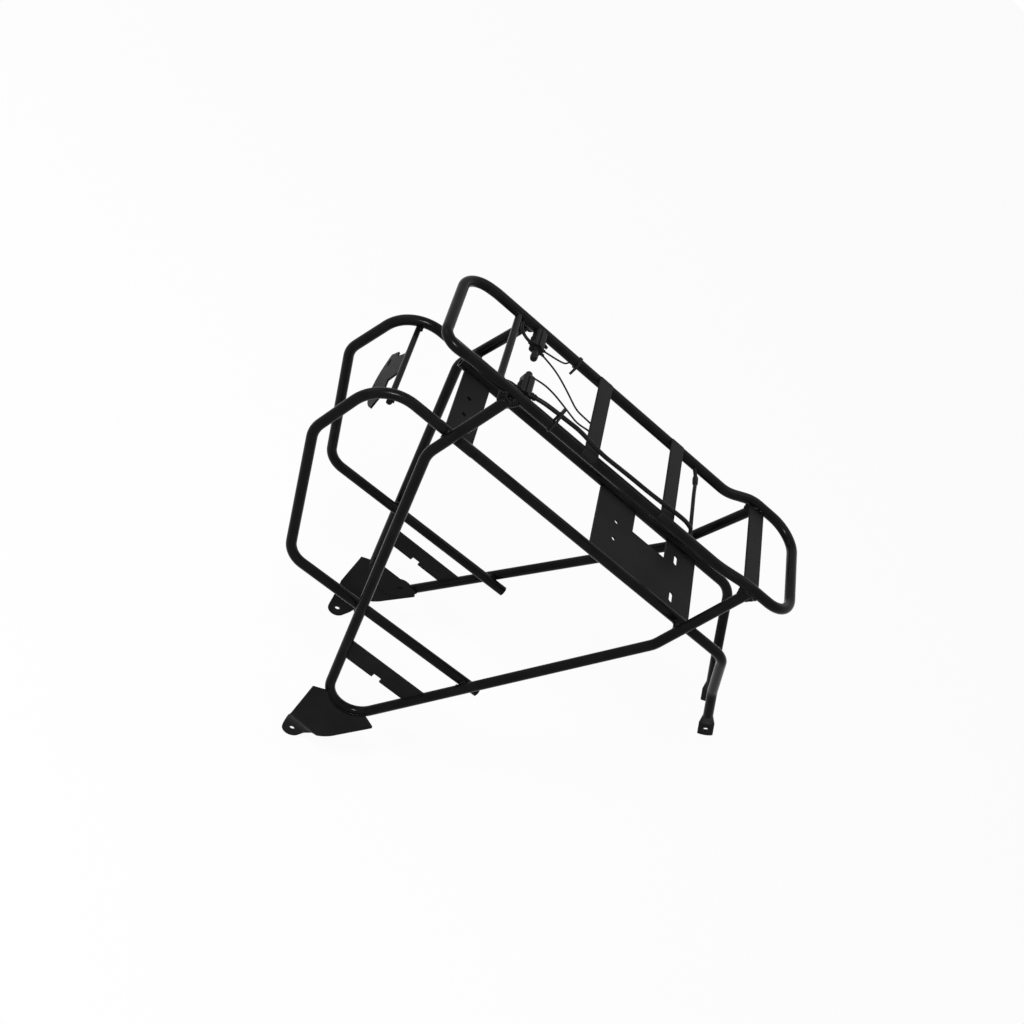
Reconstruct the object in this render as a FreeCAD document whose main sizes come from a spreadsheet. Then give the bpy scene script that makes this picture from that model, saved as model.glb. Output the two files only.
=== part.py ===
import FreeCAD, Part
import math
import os

# Rear luggage rack with two decks, welded from bent round tube.
# The origin is midway between the two axle eyelets, +X forward, +Y left, +Z up, with the deck level.

V = FreeCAD.Vector
doc = FreeCAD.newDocument("rear_rack")

SIZES = (
    ("tube_dia", 11, "outside of the frame tubes"),
    ("tube_wall", 1.2, "wall at the open tube ends"),
    ("end_bore", 40, "depth that an open tube end is hollow"),
    ("weld_gap", 0.1, "room between pieces that are welded together"),
    ("deck_height", 485, "deck rails above the eyelets"),
    ("deck_half", 60, "deck rail from the middle"),
    ("deck_rear", -196.4, "rear cross run of the deck"),
    ("deck_front", 246.5, "front cross run of the deck"),
    ("dip_long", 34, "rear end of the deck loop that dips"),
    ("dip_drop", 3.5, "dip of the deck loop at its rear end"),
    ("dip_bend", 60, "bend of the deck loop into its dip"),
    ("deck_rear_left_bend", 26, "bend of the deck loop at its left rear corner"),
    ("deck_rear_right_bend", 18, "bend of the deck loop at its right rear corner"),
    ("deck_front_bend", 30.6, "bend of the front deck corners"),
    ("kick_start", 157.3, "where the rails start to rise"),
    ("kick_end", 185.5, "where the rails are level again"),
    ("kick_rise", 9.24, "rise of the deck front"),
    ("kick_flare", 7.2, "widening of the deck front, each side"),
    ("kick_bend", 46, "bend at both ends of the rise"),
    ("strip_wide", 17, "width of a deck strip"),
    ("strip_front_wide", 20.5, "width of the front strip"),
    ("strip_thick", 1.6, "sheet of a deck strip"),
    ("strip_crown", 1.4, "rounding of the long edges of a strip"),
    ("strip_curl_angle", 74, "degrees that the right end of a strip curls over its rail"),
    ("strip_short", 0.8, "left end of a strip short of the rail's middle"),
    ("strip_rear_x", -20.3, "middle of the rear strip"),
    ("strip_mid_x", 79.8, "middle of the second strip"),
    ("strip_front_back", 51, "middle of the front strip behind the front cross run"),
    ("rod_dia", 7.4, "deck rear rod"),
    ("rod_x", -132.3, "place of the deck rear rod"),
    ("leg_splay_angle", 4.2, "lean of the legs below the knees, in degrees"),
    ("leg_knee_half", 77.9, "rear knee from the middle"),
    ("leg_bend", 30, "bends of the legs"),
    ("leg_beside", 0.78, "leg top beside the deck rail, in tube diameters"),
    ("leg_below", 0.36, "leg top under the deck rail's middle, in tube diameters"),
    ("leg_rear_top_x", -115, "rear top of a leg"),
    ("leg_rear_knee_x", -130, "rear knee"),
    ("leg_rear_knee_drop", 102, "rear knee below the deck"),
    ("leg_low_x", 9.5, "corner at the axle"),
    ("leg_low_z", 28.6, "corner at the axle"),
    ("leg_front_knee_x", 178, "front knee"),
    ("leg_front_knee_drop", 108, "front knee below the deck"),
    ("leg_front_top_x", 196, "front top of a leg"),
    ("rail_drop", 83, "lower rails below the deck rails"),
    ("rail_rear_x", -137, "rear end of a lower rail"),
    ("rail_front_x", 249, "front bend of a lower rail"),
    ("rail_bend", 24, "bends of a lower rail"),
    ("foot_half", 26, "foot from the middle"),
    ("foot_bend_x", 296.5, "bend above the foot"),
    ("foot_bend_drop", 146, "bend above the foot, below the deck"),
    ("foot_hole_x", 332, "hole of the foot"),
    ("foot_hole_drop", 190, "hole of the foot, below the deck"),
    ("foot_hole_dia", 6.4, "hole of the foot"),
    ("foot_wide", 17, "width of the flattened foot"),
    ("foot_thick", 4.4, "thickness of the flattened foot"),
    ("foot_neck", 12, "length over which the tube is flattened"),
    ("foot_behind", 9, "flat length above the hole"),
    ("foot_ahead", 8, "flat length past the hole"),
    ("arm_rise", 6, "hoop arm above the lower rail"),
    ("arm_end_x", -96, "front end of the hoop arm"),
    ("hoop_top_x", -207, "top rear corner of a hoop"),
    ("hoop_top_bend", 44, "top rear bend of a hoop"),
    ("hoop_rear_x", -220.2, "rearmost corner of a hoop"),
    ("hoop_rear_flare", 6.8, "rearmost corner outside the arm"),
    ("hoop_rear_drop", 167.3, "rearmost corner of a hoop, below the deck"),
    ("hoop_low_x", -146, "lower corner of a hoop"),
    ("hoop_low_share", 0.377, "rear end of a hoop's lower run, as a share of the deck's height"),
    ("hoop_low_rise", 4.2, "rise of a hoop's lower run to its open end"),
    ("hoop_end_x", 104.5, "open lower end of a hoop"),
    ("hoop_bend", 28, "other bends of a hoop"),
    ("pin_dia", 6, "spacer between lower rail and leg"),
    ("plate_thick", 2, "cross plates"),
    ("plate_drop", 1.6, "cross plates below the rail's middle"),
    ("rear_plate_rear", -129.3, "rear edge of the rear plate"),
    ("rear_plate_front", -96, "front edge of the rear plate"),
    ("rear_hole_x", -114.8, "holes of the rear plate"),
    ("front_plate_rear", 60, "rear edge of the front plate"),
    ("front_plate_front", 198, "front edge of the front plate"),
    ("front_hole_x", 87.4, "holes of the front plate"),
    ("plate_hole_gap", 27, "spacing of the plate holes"),
    ("plate_hole_dia", 5.2, "plate holes"),
    ("notch_rear", 109.5, "side notch of the front plate"),
    ("notch_front", 156, "side notch of the front plate"),
    ("notch_half", 18.5, "bottom of the notch from the middle"),
    ("slot_x", 171.4, "slots of the front plate"),
    ("slot_gap", 58.4, "spacing of the slots"),
    ("slot_wide", 5.2, "width of a slot"),
    ("slot_long", 15, "length of a slot"),
    ("axle_sheet", 3, "sheet of the axle plates"),
    ("axle_top_z", 96, "top of the axle sheet before trimming"),
    ("axle_joggle_z", 26, "where the axle plate turns inward"),
    ("axle_tab_z", 12, "where the eyelet tab starts"),
    ("axle_blank", 160, "length of the axle sheet before trimming"),
    ("axle_wing", 17, "axle plate past the tube's middle line"),
    ("axle_rear_angle", 214, "rear wing, degrees about the bend"),
    ("axle_front_angle", 330, "front wing, degrees about the bend"),
    ("axle_slope_angle", 4, "slope of a wing's end, degrees about the bend"),
    ("axle_turn_rear", -18.6, "rear end of the inward turn"),
    ("axle_turn_front", 19, "front end of the inward turn"),
    ("axle_corner_x", 33, "low front corner of the axle plate"),
    ("axle_corner_z", 42.5, "low front corner of the axle plate"),
    ("eyelet_half", 98.8, "middle of an eyelet tab"),
    ("eyelet_round", 11, "outside radius of the eyelet"),
    ("eyelet_dia", 6.4, "hole of the eyelet"),
    ("lug_drop", 3.5, "top edge of the lug below the bend's middle"),
    ("lug_over", 3, "lug past the tube's middle line"),
    ("lug_sheet", 2.5, "sheet of the lug"),
    ("lug_hole_dx", 15.2, "lug hole ahead of the bend's middle"),
    ("lug_hole_dz", 13.6, "lug hole below the bend's middle"),
    ("lug_hole_dia", 6.4, "hole of the lug"),
    ("lug_ear", 13, "rounded ear about the lug's hole"),
    ("tie_low_z", 129.7, "lower edge of a tie bar"),
    ("tie_high_z", 151.5, "upper edge of a tie bar"),
    ("tie_sheet", 3, "sheet of a tie bar"),
    ("tie_notch_rear", 9.3, "notch of a tie bar"),
    ("tie_notch_front", 19.6, "notch of a tie bar"),
    ("tie_notch_deep", 5, "notch of a tie bar"),
    ("lamp_rod_dia", 6, "lamp rod"),
    ("lamp_rod_x", -188.5, "lamp rod"),
    ("lamp_rod_over", 2.3, "lamp rod past the arms' middle lines"),
    ("lamp_sheet", 2, "sheet of the lamp bracket"),
    ("lamp_shift", 9.5, "lamp bracket towards the left"),
    ("lamp_half", 47.5, "lamp bracket end from its middle"),
    ("lamp_end_drop", 36, "ends of the lamp bracket below its tab's top"),
    ("lamp_low_drop", 53, "lower edge of the lamp bracket below its tab's top"),
    ("lamp_shoulder", 37, "shoulder of the lamp bracket from its middle"),
    ("lamp_shoulder_drop", 21, "shoulder of the lamp bracket below its tab's top"),
    ("lamp_tab_left_top", 13, "tab at the rod, to the left"),
    ("lamp_tab_left_low", 28, "tab below, to the left"),
    ("lamp_tab_right_top", 20, "tab at the rod, to the right"),
    ("lamp_tab_right_low", 14, "tab below, to the right"),
    ("lamp_slot_drop", 34, "lamp slots below the tab's top"),
    ("lamp_slot_gap", 60, "spacing of the lamp slots"),
    ("lamp_slot_wide", 5.2, "width of a lamp slot"),
    ("lamp_slot_long", 12, "length of a lamp slot"),
    ("plug_x", -104, "plugs on the deck rails"),
    ("plug_wide", 13, "width of a plug"),
    ("plug_tall", 11, "height of a plug"),
    ("plug_long", 28, "length of a plug"),
    ("plug_round", 3, "rounded edges of a plug"),
    ("plug_rib", 3, "rib along a plug"),
    ("cap_dia", 7, "cap at the end of a plug"),
    ("cap_left_long", 17, "cap at the end of the left plug"),
    ("cap_right_long", 11, "cap at the end of the right plug"),
    ("cable_dia", 4.5, "lamp cable"),
    ("cross_dia", 4, "cross cable"),
    ("lead_dia", 1.8, "thin leads"),
    ("tail_dia", 3.2, "plug tails"),
    ("band_wide", 2.5, "cable ties"),
    ("band_thick", 1.2, "cable ties"),
    ("band_head", 4.5, "head of a cable tie"),
    ("band_tail", 9, "cut end of a cable tie"),
    ("band_left_x", -55, "left cable tie"),
    ("band_lean_angle", 78, "lean of the left tie's head towards the middle, in degrees"),
    ("band_right_x", -66, "right cable tie"),
    ("band_cable_y", 6.2, "lamp cable at the right tie, inside the rail's middle"),
    ("band_cable_z", 10.7, "lamp cable at the right tie, above the rail's middle"),
    ("band_slack", 0.4, "room of the right tie round the cable"),
)

sheet = doc.addObject("Spreadsheet::Sheet", "Sizes")
for row, (alias, value, note) in enumerate(SIZES, 1):
    sheet.set("A%d" % row, note)
    sheet.set("B%d" % row, str(value))
    sheet.setAlias("B%d" % row, alias)
doc.recompute()


def size(alias):
    return float(sheet.get(alias))


# Places that several pieces share
tube_r = size("tube_dia") / 2
gap = size("weld_gap")
edge_match = gap / 10
deck_z = size("deck_height")
rail_z = deck_z - size("rail_drop")
arm_z = rail_z + size("arm_rise")
splay = math.radians(size("leg_splay_angle"))
contact = size("tube_dia") + gap
knee_z = deck_z - size("leg_rear_knee_drop")
front_half = size("deck_half") + size("kick_flare")
front_z = deck_z + size("kick_rise")


def leg_half(z):
    """Distance of a leg from the middle at a height below the knees."""
    return size("leg_knee_half") + math.tan(splay) * (knee_z - z)


# Corners of a leg, from its rear top round the axle to its front top
beside = size("leg_beside") * size("tube_dia")
below = size("leg_below") * size("tube_dia")
front_knee_z = deck_z - size("leg_front_knee_drop")
leg_corners = [
    V(size("leg_rear_top_x"), size("deck_half") + beside, deck_z - below),
    V(size("leg_rear_knee_x"), leg_half(knee_z), knee_z),
    V(size("leg_low_x"), leg_half(size("leg_low_z")), size("leg_low_z")),
    V(size("leg_front_knee_x"), leg_half(front_knee_z), front_knee_z),
    V(size("leg_front_top_x"), front_half, front_z - below),
]


def leg_run(first, z):
    """The point of a leg's straight run at a height, and the run's direction."""
    start = leg_corners[first]
    way = leg_corners[first + 1] - start
    return start + way * ((z - start.z) / way.z), way


# The hoop's arm lies against the leg's upper run, and the lower rail against the arm
arm_leg, arm_way = leg_run(0, arm_z)
arm_half = arm_leg.y - contact * math.hypot(arm_way.y, arm_way.z) / abs(arm_way.z)
rail_half = arm_half - math.sqrt(contact ** 2 - size("arm_rise") ** 2)

nodes = []


def keep(piece, label):
    """Names a finished piece."""
    piece.Label = label
    nodes.append(piece)
    return piece


def mirrored(point, side):
    """A point of the left side, or its mirror image."""
    return V(point.x, side * point.y, point.z)


def corner_arc(before, here, after, bend):
    """Start, middle and end of the tangent arc at one corner of a path."""
    back = (before - here).normalize()
    on = (after - here).normalize()
    half = back.getAngle(on) / 2
    reach = bend / math.tan(half)
    inward = (back + on).normalize()
    middle = here + inward * (bend / math.sin(half) - bend)
    return here + back * reach, middle, here + on * reach


def bent_wire(points, bends):
    """Straight runs joined by tangent arcs."""
    edges = []
    last = points[0]
    for i, bend in enumerate(bends, 1):
        start, middle, end = corner_arc(points[i - 1], points[i], points[i + 1], bend)
        edges.append(Part.LineSegment(last, start).toShape())
        edges.append(Part.Arc(start, middle, end).toShape())
        last = end
    edges.append(Part.LineSegment(last, points[-1]).toShape())
    return Part.Wire(edges)


def tube(name, points, bends, radius="Sizes.tube_dia / 2"):
    """A round bar or tube bent along a path."""
    path = doc.addObject("Part::Feature", name + "_path")
    path.Shape = bent_wire(points, bends)
    ring = doc.addObject("Part::Circle", name + "_ring")
    ring.setExpression("Radius", radius)
    ring.Placement = FreeCAD.Placement(points[0], FreeCAD.Rotation(V(0, 0, 1), points[1] - points[0]))
    sweep = doc.addObject("Part::Sweep", name + "_sweep")
    sweep.Sections = [ring]
    sweep.Spine = (path, ["Edge%d" % (i + 1) for i in range(len(path.Shape.Edges))])
    sweep.Solid = True
    return sweep


def rod(name, radius, length, place, along):
    """A round solid bar from a place along a direction, with sizes as expressions."""
    bar = doc.addObject("Part::Cylinder", name)
    bar.setExpression("Radius", radius)
    bar.setExpression("Height", length)
    bar.Placement = FreeCAD.Placement(place, FreeCAD.Rotation(V(0, 0, 1), along))
    return bar


def cut(name, base, tool):
    """The base with the tool's space taken away."""
    result = doc.addObject("Part::Cut", name)
    result.Base = base
    result.Tool = tool
    return result


def fuse(name, shapes):
    """Several solids joined into one piece."""
    result = doc.addObject("Part::MultiFuse", name)
    result.Shapes = shapes
    return result


def bored_end(name, base, end, inward):
    """A tube with a hollow open end."""
    bore = rod(name + "_bore", "Sizes.tube_dia / 2 - Sizes.tube_wall", "Sizes.end_bore", end, inward)
    return cut(name + "_open", base, bore)


def plane_sketch(body, name, role):
    """A sketch on one of the body's own planes."""
    sketch = body.newObject("Sketcher::SketchObject", name)
    plane = [item for item in body.Origin.OriginFeatures if item.Role == role][0]
    sketch.AttachmentSupport = [(plane, "")]
    sketch.MapMode = "FlatFace"
    return sketch


def polygon(sketch, corners):
    """A closed outline of straight lines."""
    for i, corner in enumerate(corners):
        sketch.addGeometry(Part.LineSegment(V(*corners[i - 1], 0), V(*corner, 0)))


def circle(sketch, x, y, radius):
    """A round hole."""
    sketch.addGeometry(Part.Circle(V(x, y, 0), V(0, 0, 1), radius))


def slot(sketch, x, y, width, length):
    """A slot with round ends, long along the sketch's second axis."""
    radius = width / 2
    reach = length / 2 - radius
    sketch.addGeometry(Part.LineSegment(V(x - radius, y - reach, 0), V(x - radius, y + reach, 0)))
    sketch.addGeometry(Part.LineSegment(V(x + radius, y - reach, 0), V(x + radius, y + reach, 0)))
    for way in (-1, 1):
        level = y + way * reach
        crown = V(x, level + way * radius, 0)
        sketch.addGeometry(Part.Arc(V(x - radius, level, 0), crown, V(x + radius, level, 0)))


def padded(body, sketch, length, midplane=True, reverse=False):
    """The sketch's outline made solid."""
    pad = body.newObject("PartDesign::Pad", sketch.Name + "_pad")
    pad.Profile = sketch
    pad.setExpression("Length", length)
    pad.Midplane = midplane
    pad.Reversed = reverse
    return pad


# Deck loop: one closed tube, raised and a little wider at the front and dipping at the rear
half = size("deck_half")
rear = size("deck_rear")
front = size("deck_front")
dip_x = rear + size("dip_long")
dip_z = deck_z - size("dip_drop")
deck_points = [
    V(rear, 0, dip_z),
    V(rear, half, dip_z),
    V(dip_x, half, deck_z),
    V(size("kick_start"), half, deck_z),
    V(size("kick_end"), front_half, front_z),
    V(front, front_half, front_z),
    V(front, -front_half, front_z),
    V(size("kick_end"), -front_half, front_z),
    V(size("kick_start"), -half, deck_z),
    V(dip_x, -half, deck_z),
    V(rear, -half, dip_z),
    V(rear, 0, dip_z),
]
rail_bends = [size("dip_bend"), size("kick_bend"), size("kick_bend"), size("deck_front_bend")]
deck_bends = [size("deck_rear_left_bend")] + rail_bends + rail_bends[::-1] + [size("deck_rear_right_bend")]
keep(tube("deck", deck_points, deck_bends), "deck_loop")

# The space that pieces welded to the deck loop are shaped to
deck_space = tube("deck_space", deck_points, deck_bends, "Sizes.tube_dia / 2 + Sizes.weld_gap")


# Deck strips: pressed sheet, with the long edges rounded by the press
def pressed(label, x, width, top):
    """Rounds the long upper edges of the strip's sheet and puts it in its place along the deck."""
    body = doc.getObject(label + "_body")
    sheet_pad = body.Tip
    edges = []
    for i, edge in enumerate(sheet_pad.Shape.Edges, 1):
        middle = edge.CenterOfMass
        along = abs(middle.z - top) < edge_match and abs(abs(middle.x) - width / 2) < edge_match
        if along:
            edges.append("Edge%d" % i)
    crown = body.newObject("PartDesign::Fillet", label + "_crown")
    crown.Base = (sheet_pad, edges)
    crown.setExpression("Radius", "Sizes.strip_crown")
    body.Placement = FreeCAD.Placement(V(x, 0, 0), FreeCAD.Rotation())
    return body


strip_low = deck_z + tube_r + gap
strip_top = strip_low + size("strip_thick")


def lapped_strip(label, x):
    """A strip on top of both rails: it stops on the left one and curls over the right one."""
    inner = tube_r + gap
    outer = inner + size("strip_thick")
    curl = math.radians(size("strip_curl_angle"))
    left_end = half - size("strip_short")
    body = doc.addObject("PartDesign::Body", label + "_body")
    sketch = plane_sketch(body, label + "_section", "YZ_Plane")

    def on_rail(radius, angle):
        return V(-half - radius * math.sin(angle), deck_z + radius * math.cos(angle), 0)

    for radius in (inner, outer):
        sketch.addGeometry(Part.Arc(*[on_rail(radius, angle) for angle in (0, curl / 2, curl)]))
        sketch.addGeometry(Part.LineSegment(on_rail(radius, 0), V(left_end, deck_z + radius, 0)))
    sketch.addGeometry(Part.LineSegment(on_rail(inner, curl), on_rail(outer, curl)))
    sketch.addGeometry(Part.LineSegment(V(left_end, strip_low, 0), V(left_end, strip_top, 0)))
    padded(body, sketch, "Sizes.strip_wide")
    doc.recompute()
    keep(pressed(label, x, size("strip_wide"), strip_top), label)


lapped_strip("deck_strip_rear", size("strip_rear_x"))
lapped_strip("deck_strip_mid", size("strip_mid_x"))

# The front strip is level with the others, so it butts against the raised rails
body = doc.addObject("PartDesign::Body", "deck_strip_front_body")
sketch = plane_sketch(body, "deck_strip_front_section", "YZ_Plane")
polygon(sketch, [
    (-front_half, strip_low),
    (front_half, strip_low),
    (front_half, strip_top),
    (-front_half, strip_top),
])
padded(body, sketch, "Sizes.strip_front_wide")
doc.recompute()
front_strip = pressed("deck_strip_front", front - size("strip_front_back"), size("strip_front_wide"), strip_top)
front_strip = cut("front_strip_ends", front_strip, deck_space)

# Deck rear rod, between the rails
rod_half = half - tube_r - gap
rear_rod = rod("rear_rod", "Sizes.rod_dia / 2", "Sizes.deck_half * 2 - Sizes.tube_dia - 2 * Sizes.weld_gap",
               V(size("rod_x"), -rod_half, deck_z), V(0, 1, 0))
keep(rear_rod, "deck_rear_rod")

# Legs: one bent tube each, leaning outward, with both ends shaped to the deck rail above them
for side, name in ((1, "left"), (-1, "right")):
    points = [mirrored(corner, side) for corner in leg_corners]
    leg_bends = [size("leg_bend")] * 3
    leg = tube("leg_" + name, points, leg_bends)
    keep(cut("leg_cut_" + name, leg, deck_space), "leg_" + name)
    # the front strip is notched for the top of the leg
    leg_space = tube("leg_space_" + name, points, leg_bends, "Sizes.tube_dia / 2 + Sizes.weld_gap")
    front_strip = cut("front_strip_" + name, front_strip, leg_space)
keep(front_strip, "deck_strip_front")

# Hoops: one bent tube each, from the arm on the lower rail round to the open lower end
def against_leg(x, z):
    """A point of a run that lies against the inside of the leg."""
    return V(x, leg_half(z) - contact / math.cos(splay), z)


low_z = deck_z * size("hoop_low_share")
hoop_corners = [
    V(size("arm_end_x"), arm_half, arm_z),
    V(size("hoop_top_x"), arm_half, arm_z),
    V(size("hoop_rear_x"), arm_half + size("hoop_rear_flare"), deck_z - size("hoop_rear_drop")),
    against_leg(size("hoop_low_x"), low_z),
    against_leg(size("hoop_end_x"), low_z + size("hoop_low_rise")),
]
hoop_bends = [size("hoop_top_bend"), size("hoop_bend"), size("hoop_bend")]
for side, name in ((1, "left"), (-1, "right")):
    points = [mirrored(corner, side) for corner in hoop_corners]
    hoop = tube("hoop_" + name, points, hoop_bends)
    hoop = bored_end("hoop_low_" + name, hoop, points[-1], points[-2] - points[-1])
    keep(bored_end("hoop_arm_" + name, hoop, points[0], points[1] - points[0]), "hoop_" + name)

# Lower rails: one tube each, bent down and inward to a foot that is flattened and drilled
foot_bend = V(size("foot_bend_x"), size("foot_half"), deck_z - size("foot_bend_drop"))
foot_hole = V(size("foot_hole_x"), size("foot_half"), deck_z - size("foot_hole_drop"))
foot_way = (foot_hole - foot_bend).normalize()
foot_across = V(foot_way.z, 0, -foot_way.x)
flat_start = foot_hole - foot_way * size("foot_behind")
round_end = flat_start - foot_way * size("foot_neck")


for side, name in ((1, "left"), (-1, "right")):
    points = [
        V(size("rail_rear_x"), rail_half, rail_z),
        V(size("rail_front_x"), rail_half, rail_z),
        foot_bend,
        round_end,
    ]
    points = [mirrored(point, side) for point in points]
    rail = tube("rail_" + name, points, [size("rail_bend"), size("rail_bend")])
    rail = bored_end("rail_" + name, rail, points[0], V(1, 0, 0))
    turn = FreeCAD.Rotation(foot_across, V(0, 0, 0), foot_way, "ZXY")
    ring = doc.addObject("Part::Circle", "neck_ring_" + name)
    ring.setExpression("Radius", "Sizes.tube_dia / 2")
    ring.Placement = FreeCAD.Placement(mirrored(round_end, side), turn)
    flat = doc.addObject("Part::Ellipse", "neck_flat_" + name)
    flat.setExpression("MajorRadius", "Sizes.foot_wide / 2")
    flat.setExpression("MinorRadius", "Sizes.foot_thick / 2")
    flat.Placement = FreeCAD.Placement(mirrored(flat_start, side), turn)
    neck = doc.addObject("Part::Loft", "neck_" + name)
    neck.Sections = [ring, flat]
    neck.Solid = True
    foot = doc.addObject("Part::Extrusion", "foot_" + name)
    foot.Base = flat
    foot.DirMode = "Custom"
    foot.Dir = foot_way
    foot.setExpression("LengthFwd", "Sizes.foot_behind + Sizes.foot_ahead")
    foot.Solid = True
    whole = fuse("rail_foot_" + name, [rail, neck, foot])
    drill = rod("foot_drill_" + name, "Sizes.foot_hole_dia / 2", "Sizes.tube_dia",
                mirrored(foot_hole, side) - V(0, tube_r, 0), V(0, 1, 0))
    keep(cut("rail_drilled_" + name, whole, drill), "lower_rail_" + name)

# Front spacers: short pins between the lower rails and the legs
pin_leg, pin_way = leg_run(3, rail_z)
pin_lean = abs(pin_way.y / pin_way.z)
pin_start = rail_half + tube_r + gap
pin_end = pin_leg.y - (tube_r + gap) * math.hypot(1, pin_lean) - pin_lean * size("pin_dia") / 2
for side, name in ((1, "left"), (-1, "right")):
    pin = doc.addObject("Part::Cylinder", "pin_" + name)
    pin.setExpression("Radius", "Sizes.pin_dia / 2")
    pin.Height = pin_end - pin_start
    outward = FreeCAD.Rotation(V(0, 0, 1), V(0, side, 0))
    pin.Placement = FreeCAD.Placement(V(pin_leg.x, side * pin_start, rail_z), outward)
    keep(pin, "spacer_" + name)

# Cross plates: flat sheet welded between the lower rails
plate_half = rail_half - tube_r - gap
plate_z = rail_z - size("plate_drop")
hole_half = size("plate_hole_gap") / 2

body = doc.addObject("PartDesign::Body", "rear_plate_body")
sketch = plane_sketch(body, "rear_plate_outline", "XY_Plane")
ends = (size("rear_plate_rear"), size("rear_plate_front"))
polygon(sketch, [
    (ends[0], -plate_half),
    (ends[1], -plate_half),
    (ends[1], plate_half),
    (ends[0], plate_half),
])
for way in (-1, 1):
    circle(sketch, size("rear_hole_x"), way * hole_half, size("plate_hole_dia") / 2)
padded(body, sketch, "Sizes.plate_thick")
body.Placement = FreeCAD.Placement(V(0, 0, plate_z), FreeCAD.Rotation())
keep(body, "rear_plate")

body = doc.addObject("PartDesign::Body", "front_plate_body")
sketch = plane_sketch(body, "front_plate_outline", "XY_Plane")
ends = (size("front_plate_rear"), size("front_plate_front"))
notch = (size("notch_rear"), size("notch_front"))
polygon(sketch, [
    (ends[0], -plate_half),
    (ends[1], -plate_half),
    (ends[1], plate_half),
    (notch[1], plate_half),
    (notch[1], size("notch_half")),
    (notch[0], size("notch_half")),
    (notch[0], plate_half),
    (ends[0], plate_half),
])
for way in (-1, 1):
    circle(sketch, size("front_hole_x"), way * hole_half, size("plate_hole_dia") / 2)
    slot(sketch, size("slot_x"), way * size("slot_gap") / 2, size("slot_wide"), size("slot_long"))
padded(body, sketch, "Sizes.plate_thick")
body.Placement = FreeCAD.Placement(V(0, 0, plate_z), FreeCAD.Rotation())
keep(body, "front_plate")

# Axle plates: sheet on the outside of the U-bend, joggled inward to a rounded eyelet
rear_knee, low, front_knee = [V(corner.x, corner.z, 0) for corner in leg_corners[1:4]]
arc_start, arc_low, _ = corner_arc(rear_knee, low, front_knee, size("leg_bend"))
bend_way = (arc_low - low).normalize()
bend_middle = arc_low + bend_way * size("leg_bend")
sheet_thick = size("axle_sheet")
eye = size("eyelet_round")


def outside(z):
    """Inner face of the axle plate's upper part at a height."""
    return leg_half(z) + (tube_r + gap) / math.cos(splay)


def round_tangent(corner, radius, way):
    """Where a line from a corner touches the eyelet's outside."""
    angle = math.atan2(corner[1], corner[0]) + way * math.acos(radius / math.hypot(*corner))
    return V(radius * math.cos(angle), radius * math.sin(angle), 0)


def from_bend(radius, degrees):
    """A point about the middle of the U-bend."""
    angle = math.radians(degrees)
    return V(bend_middle.x + radius * math.cos(angle), bend_middle.y + radius * math.sin(angle), 0)


for side, name in ((1, "left"), (-1, "right")):
    body = doc.addObject("PartDesign::Body", "axle_sheet_body_" + name)
    sketch = plane_sketch(body, "axle_section_" + name, "YZ_Plane")
    top = size("axle_top_z")
    turn_z = size("axle_joggle_z")
    tab_z = size("axle_tab_z")
    tab = size("eyelet_half")
    section = [
        (outside(top), top),
        (outside(turn_z), turn_z),
        (tab - sheet_thick / 2, tab_z),
        (tab - sheet_thick / 2, -eye - 1),
        (tab + sheet_thick / 2, -eye - 1),
        (tab + sheet_thick / 2, tab_z),
        (outside(turn_z) + sheet_thick, turn_z),
        (outside(top) + sheet_thick, top),
    ]
    polygon(sketch, [(side * y, z) for y, z in section])
    padded(body, sketch, "Sizes.axle_blank")
    outline = doc.addObject("PartDesign::Body", "axle_outline_body_" + name)
    sketch = plane_sketch(outline, "axle_outline_" + name, "XZ_Plane")
    ring = size("leg_bend")
    wing = ring + size("axle_wing")
    corner_left = from_bend(wing, size("axle_rear_angle"))
    corner_right = from_bend(wing, size("axle_front_angle"))
    inner_left = from_bend(ring, size("axle_rear_angle") + size("axle_slope_angle"))
    inner_right = from_bend(ring, size("axle_front_angle") - size("axle_slope_angle"))
    low_right = V(size("axle_corner_x"), size("axle_corner_z"), 0)
    turn_right = V(size("axle_turn_front"), turn_z, 0)
    turn_left = V(size("axle_turn_rear"), turn_z, 0)
    bulge = (low_right + turn_right) * 0.5 + V(1, -1, 0)
    eye_left = round_tangent((turn_left.x, turn_left.y), eye, 1)
    eye_right = round_tangent((turn_right.x, turn_right.y), eye, -1)
    sketch.addGeometry(Part.LineSegment(corner_left, inner_left))
    sketch.addGeometry(Part.Arc(inner_left, from_bend(ring, 270), inner_right))
    sketch.addGeometry(Part.LineSegment(inner_right, corner_right))
    sketch.addGeometry(Part.LineSegment(corner_right, low_right))
    sketch.addGeometry(Part.Arc(low_right, bulge, turn_right))
    sketch.addGeometry(Part.LineSegment(turn_right, eye_right))
    sketch.addGeometry(Part.Arc(eye_right, V(0, -eye, 0), eye_left))
    sketch.addGeometry(Part.LineSegment(eye_left, turn_left))
    sketch.addGeometry(Part.LineSegment(turn_left, corner_left))
    circle(sketch, 0, 0, size("eyelet_dia") / 2)
    padded(outline, sketch, "Sizes.eyelet_half * 4")
    plate = doc.addObject("Part::Common", "axle_common_" + name)
    plate.Base = body
    plate.Tool = outline
    keep(plate, "axle_plate_" + name)


def on_leg(body, side, outward=0):
    """Lays a body's XZ plane in a leg's leaning plane, or so far outward of it, at the knee's height."""
    lean = FreeCAD.Rotation(V(1, 0, 0), side * size("leg_splay_angle"))
    shift = lean.multVec(V(0, side * outward, 0))
    body.Placement = FreeCAD.Placement(V(0, side * leg_half(knee_z), knee_z) + shift, lean)


def leg_level(z):
    """A height as a distance along the leaning plane."""
    return (z - knee_z) / math.cos(splay)


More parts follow.
